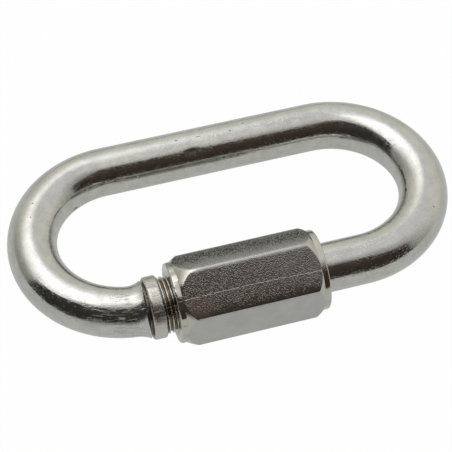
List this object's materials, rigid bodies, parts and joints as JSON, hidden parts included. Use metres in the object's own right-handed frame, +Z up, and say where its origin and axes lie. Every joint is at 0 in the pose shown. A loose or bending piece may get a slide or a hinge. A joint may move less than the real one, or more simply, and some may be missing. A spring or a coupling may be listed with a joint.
{
  "type": "quick link",
  "caption": "Oval steel quick link: a round bar bent into a long loop, with its gap closed by a long hexagonal sleeve nut that screws across it.",
  "frame": {"origin": "on the ground, under the middle of the link's own box, as the link lies at rest on its back bar and on one edge of the nut", "axes": "+X along the straight sides, from the collared end of the gap to the plain end, which is the way the nut unscrews; +Y from the nut to the back bar; +Z up"},
  "size_m": [0.0546, 0.0298, 0.0109],
  "materials": {
    "bar_steel": "tumbled stainless steel, fairly bright, with fine scratches",
    "nut_steel": "stainless steel with a fine grain and bright edges"
  },
  "bodies": {
    "link": {"link_body": "bar_steel"},
    "nut": {"sleeve_nut": "nut_steel"}
  },
  "joints": [
    {"name": "nut_travel", "type": "slide", "parent": "link", "child": "nut", "axis": [1, 0, 0], "range_m": [-0.001, 0.0065]}
  ]
}
